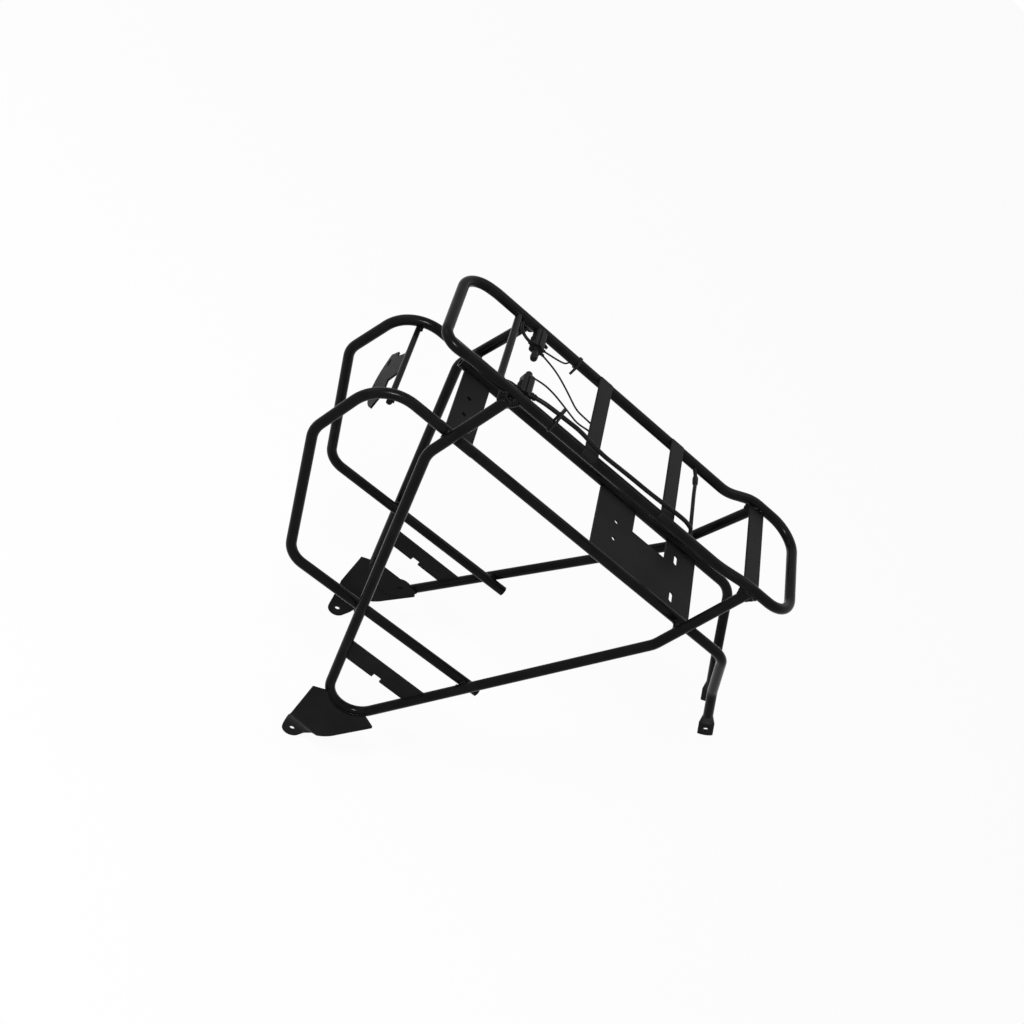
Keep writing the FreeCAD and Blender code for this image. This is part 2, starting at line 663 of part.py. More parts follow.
# Inner lug: a segment of sheet on the inside of the left U-bend, with an ear about its hole
body = doc.addObject("PartDesign::Body", "lug_body")
sketch = plane_sketch(body, "lug_outline", "XZ_Plane")
lug_r = size("leg_bend") + size("lug_over")
lug_reach = math.sqrt(lug_r ** 2 - size("lug_drop") ** 2)
lug_top = leg_level(bend_middle.y - size("lug_drop"))
lug_hole = V(bend_middle.x + size("lug_hole_dx"), leg_level(bend_middle.y - size("lug_hole_dz")), 0)
lug_left = V(bend_middle.x - lug_reach, lug_top, 0)
lug_right = V(bend_middle.x + lug_reach, lug_top, 0)
ear_reach = math.sqrt(size("lug_ear") ** 2 - (lug_top - lug_hole.y) ** 2)
ear_left = V(lug_hole.x - ear_reach, lug_top, 0)
ear_right = V(lug_hole.x + ear_reach, lug_top, 0)
sketch.addGeometry(Part.LineSegment(lug_left, ear_left))
sketch.addGeometry(Part.Arc(ear_left, lug_hole + V(0, size("lug_ear"), 0), ear_right))
sketch.addGeometry(Part.LineSegment(ear_right, lug_right))
sketch.addGeometry(Part.Arc(lug_right, V(bend_middle.x, leg_level(bend_middle.y - lug_r), 0), lug_left))
circle(sketch, lug_hole.x, lug_hole.y, size("lug_hole_dia") / 2)
padded(body, sketch, "Sizes.lug_sheet")
on_leg(body, 1, -(tube_r + gap + size("lug_sheet") / 2))
keep(body, "lug_left")

# Tie bars: flat bars between the two runs of a leg, notched below
tie_low = size("tie_low_z")
tie_high = size("tie_high_z")


def tie_end(first, z, way):
    """Where a tie bar meets the inside of a leg's run."""
    middle, run = leg_run(first, z)
    return middle.x + way * (tube_r + gap) * math.hypot(run.x, run.z) / abs(run.z)


tie_corners = [
    (tie_end(1, tie_low, 1), tie_low),
    (size("tie_notch_rear"), tie_low),
    (size("tie_notch_rear"), tie_low + size("tie_notch_deep")),
    (size("tie_notch_front"), tie_low + size("tie_notch_deep")),
    (size("tie_notch_front"), tie_low),
    (tie_end(2, tie_low, -1), tie_low),
    (tie_end(2, tie_high, -1), tie_high),
    (tie_end(1, tie_high, 1), tie_high),
]
for side, name in ((1, "left"), (-1, "right")):
    body = doc.addObject("PartDesign::Body", "tie_body_" + name)
    sketch = plane_sketch(body, "tie_outline_" + name, "XZ_Plane")
    polygon(sketch, [(x, leg_level(z)) for x, z in tie_corners])
    padded(body, sketch, "Sizes.tie_sheet")
    on_leg(body, side)
    keep(body, "tie_bar_" + name)

# Lamp rod, welded under the top bends of both hoops
hoop_top = hoop_corners[1]
arc_start, arc_middle, _ = corner_arc(*hoop_corners[:3], size("hoop_top_bend"))
into_bend = (arc_middle - hoop_top).normalize()
hoop_centre = arc_middle + into_bend * size("hoop_top_bend")
hoop_up = (arc_start - hoop_centre).normalize()
lamp_reach = size("hoop_top_bend") - tube_r - gap - size("lamp_rod_dia") / 2
lamp_x = size("lamp_rod_x")
lamp_sin = (hoop_centre.x - lamp_x) / lamp_reach
lamp_z = hoop_centre.z + hoop_up.z * lamp_reach * math.sqrt(1 - lamp_sin ** 2)
lamp_end = arm_half + size("lamp_rod_over")
lamp_rod = doc.addObject("Part::Cylinder", "lamp_bar")
lamp_rod.setExpression("Radius", "Sizes.lamp_rod_dia / 2")
lamp_rod.Height = 2 * lamp_end
lamp_rod.Placement = FreeCAD.Placement(V(lamp_x, -lamp_end, lamp_z), FreeCAD.Rotation(V(0, 0, 1), V(0, 1, 0)))
keep(lamp_rod, "lamp_rod")

# Lamp bracket: a leaf of sheet with two slots that hangs from the lamp rod by a tab
body = doc.addObject("PartDesign::Body", "lamp_body")
sketch = plane_sketch(body, "lamp_outline", "YZ_Plane")
tab_top = lamp_z - size("lamp_rod_dia") / 2 - gap
end_z = tab_top - size("lamp_end_drop")
shoulder_z = tab_top - size("lamp_shoulder_drop")
slot_z = tab_top - size("lamp_slot_drop")
left_end = V(size("lamp_half"), end_z, 0)
right_end = V(-size("lamp_half"), end_z, 0)
outline = [
    right_end,
    V(-size("lamp_shoulder"), shoulder_z, 0),
    V(-size("lamp_tab_right_low"), shoulder_z, 0),
    V(-size("lamp_tab_right_top"), tab_top, 0),
    V(size("lamp_tab_left_top"), tab_top, 0),
    V(size("lamp_tab_left_low"), shoulder_z, 0),
    V(size("lamp_shoulder"), shoulder_z, 0),
    left_end,
]
for first, second in zip(outline[:-1], outline[1:]):
    sketch.addGeometry(Part.LineSegment(first, second))
sketch.addGeometry(Part.Arc(left_end, V(0, tab_top - size("lamp_low_drop"), 0), right_end))
for way in (-1, 1):
    middle = way * size("lamp_slot_gap") / 2
    radius = size("lamp_slot_wide") / 2
    reach = size("lamp_slot_long") / 2 - radius
    for up in (-1, 1):
        level = slot_z + up * radius
        sketch.addGeometry(Part.LineSegment(V(middle - reach, level, 0), V(middle + reach, level, 0)))
        end = middle + up * reach
        crown = V(end + up * radius, slot_z, 0)
        sketch.addGeometry(Part.Arc(V(end, slot_z - radius, 0), crown, V(end, slot_z + radius, 0)))
padded(body, sketch, "Sizes.lamp_sheet")
body.Placement = FreeCAD.Placement(V(lamp_x, size("lamp_shift"), 0), FreeCAD.Rotation())
keep(body, "lamp_bracket")

# Plugs: ribbed housings on the inner sides of the deck rails, each with a round cap
plug_base = half - tube_r - gap
plug_end = plug_base - size("plug_long")
for side, name in ((1, "left"), (-1, "right")):
    body = doc.addObject("PartDesign::Body", "plug_body_" + name)
    sketch = plane_sketch(body, "plug_section_" + name, "XZ_Plane")
    wide = size("plug_wide") / 2
    tall = size("plug_tall") / 2
    rib = size("plug_rib") / 2
    polygon(sketch, [
        (-wide, -tall),
        (wide, -tall),
        (wide, tall),
        (rib, tall),
        (rib, tall + rib),
        (-rib, tall + rib),
        (-rib, tall),
        (-wide, tall),
    ])
    pad = padded(body, sketch, "Sizes.plug_long", False, side < 0)
    doc.recompute()
    edges = []
    for i, edge in enumerate(pad.Shape.Edges, 1):
        middle = edge.CenterOfMass
        if abs(abs(middle.x) - wide) < edge_match and abs(abs(middle.z) - tall) < edge_match:
            edges.append("Edge%d" % i)
    rounded = body.newObject("PartDesign::Fillet", "plug_round_" + name)
    rounded.Base = (pad, edges)
    rounded.setExpression("Radius", "Sizes.plug_round")
    body.Placement = FreeCAD.Placement(V(size("plug_x"), side * plug_base, deck_z), FreeCAD.Rotation())
    keep(body, "plug_" + name)
    body = doc.addObject("PartDesign::Body", "cap_body_" + name)
    sketch = plane_sketch(body, "cap_profile_" + name, "XY_Plane")
    radius = size("cap_dia") / 2
    length = size("cap_%s_long" % name)
    crown = radius / 2
    corners = [
        V(0, 0, 0),
        V(radius, 0, 0),
        V(radius, length - crown, 0),
        V(radius - crown, length, 0),
        V(0, length, 0),
    ]
    sketch.addGeometry(Part.LineSegment(corners[0], corners[1]))
    sketch.addGeometry(Part.LineSegment(corners[1], corners[2]))
    bulge = V(radius - crown * (1 - math.sqrt(0.5)), length - crown * (1 - math.sqrt(0.5)), 0)
    sketch.addGeometry(Part.Arc(corners[2], bulge, corners[3]))
    sketch.addGeometry(Part.LineSegment(corners[3], corners[4]))
    sketch.addGeometry(Part.LineSegment(corners[4], corners[0]))
    turned = body.newObject("PartDesign::Revolution", "cap_turned_" + name)
    turned.Profile = sketch
    turned.ReferenceAxis = (sketch, ["V_Axis"])
    turned.Angle = 360
    flip = FreeCAD.Rotation(V(0, 1, 0), V(0, -side, 0))
    body.Placement = FreeCAD.Placement(V(size("plug_x"), side * (plug_end - gap), deck_z), flip)
    keep(body, "plug_cap_" + name)


# Leads: each a limp round cord of straight runs and tangent arcs
def cord(label, route, diameter):
    points = [V(*point) for point in route]
    bends = []
    for i in range(1, len(points) - 1):
        back = points[i - 1] - points[i]
        on = points[i + 1] - points[i]
        half_turn = (math.pi - back.getAngle(on)) / 2
        bends.append(0.45 * min(back.Length, on.Length) / math.tan(half_turn))
    length = bent_wire(points, bends).Length
    print(label, "length", round(length, 1), "bends", [round(bend, 1) for bend in bends])
    return keep(tube(label, points, bends, "Sizes.%s / 2" % diameter), label)


lead_left = [(-96.9, 33.8, 485), (-86, 36.3, 485), (-75, 39.6, 485), (-67, 44.4, 484.5), (-63.7, 53, 483.4)]
lead_cross = [(-97, 26.6, 485), (-86.4, 23.6, 485.2), (-74.7, 18.3, 485.2), (-63.1, 9.3, 485),
              (-53.8, 0, 485), (-44.5, -10.6, 485.4), (-36.6, -15, 487.2), (-28.4, -17.6, 488.5),
              (-21.5, -19.4, 488.7)]
lead_right = [(-99.4, -17.2, 485), (-87.9, -13.4, 485.3), (-73.6, -14.4, 485.3), (-60.8, -18.7, 485),
              (-49.4, -23.8, 485), (-41.6, -28.6, 485.7), (-34.2, -30.2, 487.2), (-27.4, -30.3, 488.5),
              (-20.8, -31, 488.7)]
lamp_cable = [(-97, -48.5, 488), (-88, -50, 491.5), (-76, -53, 494.6), (-59, -54.2, 496),
              (-42, -53.4, 496.4), (-26, -56.8, 496.1), (-10, -59.2, 495.6), (8, -56.4, 494.6),
              (28, -54.8, 494.3), (48, -55.3, 494.8), (66, -55.7, 495.9), (81, -54.4, 496),
              (95, -50.8, 494.4), (106, -47, 491.5), (112.6, -46, 488.6)]
cross_cable = [(111.2, 54, 484.6), (113.4, 43, 485), (113.9, 31, 485.3), (113.5, 14, 485.4),
               (114.3, -6, 485.2), (115, -24, 484.8), (116.6, -39, 483.6), (119, -51.5, 481.6)]
cord("lead_left", lead_left, "lead_dia")
cord("lead_cross", lead_cross, "lead_dia")
cord("lead_right", lead_right, "lead_dia")
cord("lamp_cable", lamp_cable, "cable_dia")
cord("cross_cable", cross_cable, "cross_dia")
# the tails start at the plugs, so they are placed from the plugs and their rails
tail_x = size("plug_x") - size("plug_wide") / 2
left_turns = [(-0.3, -29.8, 0.2), (-6.1, -29.8, 0.4), (-11.4, -26.7, 0.5), (-14.5, -21.4, 0.4),
              (-15.3, -13.6, 0.1), (-14.8, -5.9, -0.2)]
right_turns = [(-0.3, 11.4, 0.2), (-6.5, 10.8, 0.5), (-12, 9.4, 0.4), (-16.7, 7.3, -0.2)]
cord("plug_tail_left", [(tail_x + x, half + y, deck_z + z) for x, y, z in left_turns], "tail_dia")
cord("plug_tail_right", [(tail_x + x, y - half, deck_z + z) for x, y, z in right_turns], "tail_dia")

# Left cable tie: a band round the deck rail, with a square head and a cut end that hangs down
band_inner = tube_r + gap
band_outer = band_inner + size("band_thick")
head_half = size("band_head") / 2
head_foot = math.sqrt(band_outer ** 2 - head_half ** 2)
head_top = band_outer + head_half
tail_low = head_top - size("band_thick") * 1.5
tail_high = head_top - size("band_thick") / 2
tail_end = head_half + size("band_tail")
body = doc.addObject("PartDesign::Body", "band_body_left")
sketch = plane_sketch(body, "band_outline_left", "YZ_Plane")
corners = [
    V(-head_half, head_foot, 0),
    V(-head_half, tail_low, 0),
    V(-tail_end, tail_low, 0),
    V(-tail_end, tail_high, 0),
    V(-head_half, tail_high, 0),
    V(-head_half, head_top, 0),
    V(head_half, head_top, 0),
    V(head_half, head_foot, 0),
]
for first, second in zip(corners[:-1], corners[1:]):
    sketch.addGeometry(Part.LineSegment(first, second))
sketch.addGeometry(Part.Arc(corners[-1], V(0, -band_outer, 0), corners[0]))
circle(sketch, 0, 0, band_inner)
padded(body, sketch, "Sizes.band_wide")
lean = FreeCAD.Rotation(V(1, 0, 0), size("band_lean_angle"))
body.Placement = FreeCAD.Placement(V(size("band_left_x"), half, deck_z), lean)
keep(body, "cable_tie_left")

# Right cable tie: a band round the deck rail and the lamp cable above it, with its head over the cable
cable_spot = V(size("band_cable_y"), size("band_cable_z"), 0)
cable_inner = size("cable_dia") / 2 + size("band_slack")
cable_way = math.atan2(cable_spot.y, cable_spot.x)
spread = math.acos((band_inner - cable_inner) / cable_spot.Length)
body = doc.addObject("PartDesign::Body", "band_body_right")
sketch = plane_sketch(body, "band_outline_right", "YZ_Plane")


def about(middle, radius, turn):
    """A point of a circle, at a turn from the way to the cable."""
    angle = cable_way + turn
    return middle + V(radius * math.cos(angle), radius * math.sin(angle), 0)


rail_spot = V(0, 0, 0)
cable_outer = cable_inner + size("band_thick")
for radius, small in ((band_inner, cable_inner), (band_outer, cable_outer)):
    rail_arc = [about(rail_spot, radius, turn) for turn in (spread, math.pi, -spread)]
    sketch.addGeometry(Part.Arc(*rail_arc))
    sketch.addGeometry(Part.LineSegment(rail_arc[0], about(cable_spot, small, spread)))
    sketch.addGeometry(Part.LineSegment(rail_arc[2], about(cable_spot, small, -spread)))
sketch.addGeometry(Part.Arc(*[about(cable_spot, cable_inner, turn) for turn in (spread, 0, -spread)]))
# the head stands on the outside of the band over the cable
head_turn = math.asin(head_half / cable_outer)
head_up = about(rail_spot, size("band_head"), 0)
head_feet = []
for way in (1, -1):
    turns = (spread, (spread + head_turn) / 2, head_turn)
    foot_arc = [about(cable_spot, cable_outer, way * turn) for turn in turns]
    sketch.addGeometry(Part.Arc(*foot_arc))
    sketch.addGeometry(Part.LineSegment(foot_arc[2], foot_arc[2] + head_up))
    head_feet.append(foot_arc[2])
sketch.addGeometry(Part.LineSegment(head_feet[0] + head_up, head_feet[1] + head_up))
padded(body, sketch, "Sizes.band_wide")
body.Placement = FreeCAD.Placement(V(size("band_right_x"), -half, deck_z), FreeCAD.Rotation())
keep(body, "cable_tie_right")

doc.recompute()

for item in doc.Objects:
    if "Invalid" in item.State or "Error" in item.State:
        raise RuntimeError("%s failed" % item.Name)
for piece in nodes:
    if piece.Shape.isNull() or not piece.Shape.isValid() or not piece.Shape.Solids:
        raise RuntimeError("%s has no sound shape" % piece.Label)

os.makedirs("parts", exist_ok=True)
for piece in nodes:
    piece.Shape.exportStep("parts/%s.step" % piece.Label)
print(len(nodes), "pieces")
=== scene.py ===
import math
import bpy
from mathutils import Matrix, Vector


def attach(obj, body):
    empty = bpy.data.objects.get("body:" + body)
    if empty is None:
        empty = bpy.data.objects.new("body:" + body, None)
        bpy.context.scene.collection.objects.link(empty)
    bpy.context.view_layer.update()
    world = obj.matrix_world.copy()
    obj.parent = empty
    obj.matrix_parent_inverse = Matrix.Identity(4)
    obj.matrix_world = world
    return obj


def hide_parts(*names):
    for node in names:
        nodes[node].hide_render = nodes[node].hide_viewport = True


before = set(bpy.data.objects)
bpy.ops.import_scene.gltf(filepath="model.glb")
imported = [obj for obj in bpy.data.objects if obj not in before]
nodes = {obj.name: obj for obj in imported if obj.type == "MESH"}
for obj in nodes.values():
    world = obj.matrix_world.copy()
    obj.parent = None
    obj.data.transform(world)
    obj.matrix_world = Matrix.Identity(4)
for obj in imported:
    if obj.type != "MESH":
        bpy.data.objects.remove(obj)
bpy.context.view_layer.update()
bpy.ops.object.select_all(action="DESELECT")


# Frame tubes: the deck loop, legs, hoops and lower rails, with the rods and spacers between them.
# Drawn steel tube, bent on a former, welded and then powder coated in half-gloss black.
# The coat is uneven in tone and gloss, with the fine ripple of baked powder.
def powder_coat(name, shine, blotch, blotch_detail, dark_end, dark, light, gloss_range, grit, grit_height):
    """Black powder coat: cloudy in tone and gloss, with a fine ripple."""
    coat = bpy.data.materials.new(name)
    coat.use_nodes = True
    tree = coat.node_tree
    shader = tree.nodes["Principled BSDF"]
    shader.inputs["IOR"].default_value = 1.48
    shader.inputs["Specular IOR Level"].default_value = shine
    place = tree.nodes.new("ShaderNodeTexCoord")
    cloud = tree.nodes.new("ShaderNodeTexNoise")
    cloud.inputs["Scale"].default_value = blotch
    cloud.inputs["Detail"].default_value = blotch_detail
    tone = tree.nodes.new("ShaderNodeValToRGB")
    tone.color_ramp.elements[0].position = dark_end
    tone.color_ramp.elements[0].color = dark
    tone.color_ramp.elements[1].position = 0.75
    tone.color_ramp.elements[1].color = light
    gloss = tree.nodes.new("ShaderNodeMapRange")
    gloss.inputs["To Min"].default_value = gloss_range[0]
    gloss.inputs["To Max"].default_value = gloss_range[1]
    peel = tree.nodes.new("ShaderNodeTexNoise")
    peel.inputs["Scale"].default_value = grit
    peel.inputs["Detail"].default_value = 2
    ripple = tree.nodes.new("ShaderNodeBump")
    ripple.inputs["Strength"].default_value = grit_height
    ripple.inputs["Distance"].default_value = 0.0002
    tree.links.new(place.outputs["Object"], cloud.inputs["Vector"])
    tree.links.new(place.outputs["Object"], peel.inputs["Vector"])
    tree.links.new(cloud.outputs["Fac"], tone.inputs["Fac"])
    tree.links.new(tone.outputs["Color"], shader.inputs["Base Color"])
    tree.links.new(cloud.outputs["Fac"], gloss.inputs["Value"])
    tree.links.new(gloss.outputs["Result"], shader.inputs["Roughness"])
    tree.links.new(peel.outputs["Fac"], ripple.inputs["Height"])
    tree.links.new(ripple.outputs["Normal"], shader.inputs["Normal"])
    return coat


def dress(names, finish):
    """Gives pieces of the frame their finish."""
    for name in names:
        for slot in nodes[name].material_slots:
            slot.material = finish


tube_paint = powder_coat(
    "tube_paint", shine=0.07, blotch=55, blotch_detail=4, dark_end=0.35,
    dark=(0.0022, 0.0022, 0.0026, 1), light=(0.0048, 0.0048, 0.0054, 1),
    gloss_range=(0.17, 0.26), grit=900, grit_height=0.05)
dress(("deck_loop", "leg_left", "leg_right", "hoop_left", "hoop_right", "lower_rail_left", "lower_rail_right",
       "deck_rear_rod", "lamp_rod", "spacer_left", "spacer_right"), tube_paint)


# Sheet pieces: deck strips, cross plates, axle plates, tie bars, lug and lamp bracket.
# Cut and pressed from steel sheet, welded on and coated with the tubes in the same black.
# On flat sheet the coat looks greyer and duller, with a soft cloudy unevenness.
sheet_paint = powder_coat(
    "sheet_paint", shine=0.06, blotch=32, blotch_detail=5, dark_end=0.3,
    dark=(0.0042, 0.0042, 0.0046, 1), light=(0.0080, 0.0080, 0.0085, 1),
    gloss_range=(0.42, 0.56), grit=700, grit_height=0.16)
dress(("deck_strip_rear", "deck_strip_mid", "deck_strip_front", "rear_plate", "front_plate",
       "axle_plate_left", "axle_plate_right", "tie_bar_left", "tie_bar_right", "lug_left", "lamp_bracket"),
      sheet_paint)


# Pressed axle plates: the sheet outside each U-bend, with its two folds down to the eyelet.
# Cut from 3 mm steel sheet and pressed over a round-nosed tool, so each fold is a soft bend.
fold_width = 0.0072
fold_steps = 8
shortest_fold = 0.006
fold_level = 0.0002
for name in ("left", "right"):
    bpy.ops.object.select_all(action="DESELECT")
    flat = nodes["axle_plate_" + name]
    pressed = bpy.data.objects.new("axle_plate_pressed_" + name, flat.data.copy())
    bpy.context.collection.objects.link(pressed)
    pressed.select_set(True)
    bpy.context.view_layer.objects.active = pressed
    bpy.ops.mesh.customdata_custom_splitnormals_clear()
    bpy.ops.object.mode_set(mode="EDIT")
    bpy.ops.mesh.select_all(action="SELECT")
    bpy.ops.mesh.remove_doubles(threshold=0.000005)
    bpy.ops.mesh.dissolve_limited(angle_limit=math.radians(1))
    bpy.ops.mesh.select_all(action="DESELECT")
    bpy.ops.mesh.select_mode(type="EDGE")
    bpy.ops.object.mode_set(mode="OBJECT")
    for edge in pressed.data.edges:
        one, other = [pressed.data.vertices[i].co for i in edge.vertices]
        level = abs(one.y - other.y) < fold_level and abs(one.z - other.z) < fold_level
        edge.select = level and abs(one.x - other.x) > shortest_fold
    bpy.ops.object.mode_set(mode="EDIT")
    bpy.ops.mesh.bevel(offset=fold_width, segments=fold_steps, affect="EDGES")
    bpy.ops.object.mode_set(mode="OBJECT")
    bpy.ops.object.shade_smooth_by_angle(angle=math.radians(30))
    pressed.data.materials.clear()
    pressed.data.materials.append(sheet_paint)
    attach(pressed, "root")
    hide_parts("axle_plate_" + name)


# Weld beads: short runs of filler where tubes, rods and sheet meet, coated over with the frame.
# Each is a row of overlapping drops, as a torch leaves them, melted into one skin.
tube_radius = 0.0055
along_rack = (1, 0, 0)
deck_rail_y, deck_z = 0.060, 0.485
raised_rail_y, raised_rail_z = 0.0672, 0.49424
lower_rail_y, lower_rail_z = 0.05503, 0.402
rear_leg, rear_leg_way = (-0.130, 0.0779, 0.383), (0.015, -0.00932, 0.09804)
front_leg, front_leg_way = (0.178, 0.07834, 0.377), (0.018, -0.01114, 0.11328)
rear_rod_x, lamp_rod_x = -0.1323, -0.1885
spacer_x, spacer_y, spacer_leg_y = 0.18197, 0.065, 0.07588
hoop_arm_y, hoop_arm_z = 0.0698, 0.408
hoop_low_y, hoop_low_z = 0.0869, 0.18484
bend_x, bend_z = 0.01232, 0.10334
axle_bead_radius, lug_bead_radius = 0.0296, 0.0334

bpy.ops.mesh.primitive_uv_sphere_add(segments=8, ring_count=6, radius=1)
drop = bpy.context.object
bpy.ops.object.mode_set(mode="EDIT")
bpy.ops.mesh.select_all(action="SELECT")
bpy.ops.transform.resize(value=(0.85, 1.1, 1))
bpy.ops.object.mode_set(mode="OBJECT")


def run(start, end, pitch=0.0014):
    """Spots of drops along a straight run."""
    start, end = Vector(start), Vector(end)
    count = max(2, round((end - start).length / pitch) + 1)
    return [start.lerp(end, i / (count - 1)) for i in range(count)]


def saddle(start, way, radius, rail, rail_way, count, highest=1):
    """Spots round the end of a tube, where it runs into the side of another tube."""
    way, rail_way = Vector(way).normalized(), Vector(rail_way).normalized()
    across = way.orthogonal().normalized()
    lean = way - way.dot(rail_way) * rail_way
    spots = []
    for i in range(count):
        angle = 2 * math.pi * i / count
        wall = Vector(start) + radius * (math.cos(angle) * across + math.sin(angle) * way.cross(across))
        off = wall - Vector(rail)
        off -= off.dot(rail_way) * rail_way
        near = off.dot(lean) ** 2 - lean.dot(lean) * (off.dot(off) - tube_radius ** 2)
        if near > 0:
            spot = wall - way * (off.dot(lean) + math.sqrt(near)) / lean.dot(lean)
            if spot.z < highest:
                spots.append(spot)
    return spots


def round_bend(side, radius, first, count, out):
    """Spots every three degrees round the U-bend of a leg, so far outside the leg's middle."""
    spots = []
    for i in range(count):
        angle = math.radians(first + 3 * i)
        z = bend_z + radius * math.sin(angle)
        leg_y = 0.10393 - 0.07345 * (z - 0.0286)
        spots.append(Vector((bend_x + radius * math.cos(angle), side * (leg_y + out), z)))
    return spots


def weld(name, rows, radius, rounds=6):
    """Copies the drop along rows of spots and melts the copies into one bead."""
    bpy.ops.object.select_all(action="DESELECT")
    for row in rows:
        for i, spot in enumerate(row):
            along = row[min(i + 1, len(row) - 1)] - row[max(i - 1, 0)]
            turn = along.to_track_quat("X", "Z").to_matrix().to_4x4()
            swell = radius * (1 + 0.08 * math.sin(2.1 * i))
            copy = drop.copy()
            copy.data = drop.data.copy()
            copy.data.transform(Matrix.Translation(spot) @ turn @ Matrix.Scale(swell, 4))
            bpy.context.collection.objects.link(copy)
            copy.select_set(True)
    bpy.context.view_layer.objects.active = copy
    bpy.ops.object.join()
    bead = bpy.context.object
    bead.name = name
    bpy.ops.object.modifier_add(type="REMESH")
    bead.modifiers[-1].mode = "VOXEL"
    bead.modifiers[-1].voxel_size = 0.0005
    bpy.ops.object.modifier_apply(modifier=bead.modifiers[-1].name)
    bpy.ops.object.modifier_add(type="SMOOTH")
    bead.modifiers[-1].iterations = rounds
    bpy.ops.object.modifier_apply(modifier=bead.modifiers[-1].name)
    bpy.ops.object.shade_smooth()
    bead.data.materials.clear()
    bead.data.materials.append(tube_paint)
    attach(bead, "root")


def sided(side, x, y, z):
    """A spot given for the left side, on the left or the right."""
    return Vector((x, side * y, z))


leg_tops, rods, hoops, rails, plates, ties, axles, strips = [], [], [], [], [], [], [], []
for side in (1, -1):
    # legs under the deck rails: two rings of drops, webs ahead and behind, and a filled rear top
    for radius in (0.0056, 0.0074):
        leg_tops.append(saddle(sided(side, *rear_leg), sided(side, *rear_leg_way), radius,
                               sided(side, 0, deck_rail_y, deck_z), along_rack, 36, highest=0.4835))
        leg_tops.append(saddle(sided(side, *front_leg), sided(side, *front_leg_way), radius,
                               sided(side, 0, raised_rail_y, raised_rail_z), along_rack, 36))
    for way in (1, -1):
        for foot, foot_out, head, head_out in (
            ((-0.1160, 0.0672, 0.4735), 0.0046, (-0.1150, 0.0650, 0.4815), 0.0095),
            ((-0.1155, 0.0660, 0.4770), 0.0044, (-0.1150, 0.0652, 0.4825), 0.0062),
            ((0.1940, 0.0690, 0.4810), 0.0046, (0.1955, 0.0676, 0.4886), 0.0095),
            ((0.1945, 0.0686, 0.4840), 0.0044, (0.1955, 0.0676, 0.4890), 0.0062),
        ):
            shift_foot, shift_head = Vector((way * foot_out, 0, 0)), Vector((way * head_out, 0, 0))
            leg_tops.append(run(sided(side, *foot) + shift_foot, sided(side, *head) + shift_head))
    for y, z in ((0.0688, 0.4803), (0.0712, 0.4790)):
        leg_tops.append(run(sided(side, -0.1187, y, z), sided(side, -0.1113, y, z)))
    # rear rod, spacer pins and lamp rod
    rods.append(saddle((rear_rod_x, 0, deck_z), (0, side, 0), 0.0037,
                       sided(side, 0, deck_rail_y, deck_z), along_rack, 18))
    rods.append(saddle(sided(side, spacer_x, spacer_y, lower_rail_z), (0, -side, 0), 0.003,
                       sided(side, 0, lower_rail_y, lower_rail_z), along_rack, 16))
    rods.append(saddle(sided(side, spacer_x, spacer_y, lower_rail_z), (0, side, 0), 0.003,
                       sided(side, spacer_x, spacer_leg_y, lower_rail_z), sided(side, *front_leg_way), 16))
    for shift in (-0.0027, 0.0027):
        rods.append(run(sided(side, lamp_rod_x + shift, 0.0605, 0.3964),
                        sided(side, lamp_rod_x + shift, 0.0666, 0.3964)))
    # hoop's arm and low run against the leg, above and below
    for shift in (-0.0043, 0.0043):
        for start, end, y, z in ((-0.1298, -0.1228, hoop_arm_y, hoop_arm_z),
                                 (-0.0552, -0.0488, hoop_low_y, hoop_low_z),
                                 (0.0824, 0.0884, hoop_low_y, hoop_low_z)):
            hoops.append(run(sided(side, start, y, z + shift), sided(side, end, y, z + shift)))
    # hoop's arm in the valley beside the lower rail
    for start in (-0.1325, -0.1125):
        for y, z in ((0.0578, 0.4080), (0.0616, 0.4020)):
            rails.append(run(sided(side, start, y, z), sided(side, start + 0.012, y, z)))
    # cross plates between the lower rails, along both edges of the sheet
    for start, end in ((-0.127, -0.115), (-0.110, -0.098), (0.063, 0.077), (0.091, 0.105),
                       (0.158, 0.171), (0.182, 0.195)):
        for z in (0.3991, 0.4017):
            plates.append(run(sided(side, start, 0.0495, z), sided(side, end, 0.0495, z)))
    # tie bar between the runs of the leg, on both faces
    for face in (-0.0017, 0.0017):
        for low_x, high_x in ((-0.0251, -0.0323), (0.0531, 0.0618)):
            ties.append(run(sided(side, low_x, 0.0964 + face, 0.1315),
                            sided(side, high_x, 0.0951 + face, 0.1497)))
    # axle plate along the outside of the U-bend
    axles.append(round_bend(side, axle_bead_radius, 216, 38, 0.0061))
    # front strip against the raised rail
    strips.append(run(sided(side, 0.1880, 0.0622, 0.4921), sided(side, 0.2030, 0.0622, 0.4921)))
# other strips on the rails: the left end lies flat, the right end is curled over
for middle in (-0.0203, 0.0798):
    for y, z in ((0.0597, 0.4911), (-0.0663, 0.4863)):
        strips.append(run((middle - 0.007, y, z), (middle + 0.007, y, z), pitch=0.001))
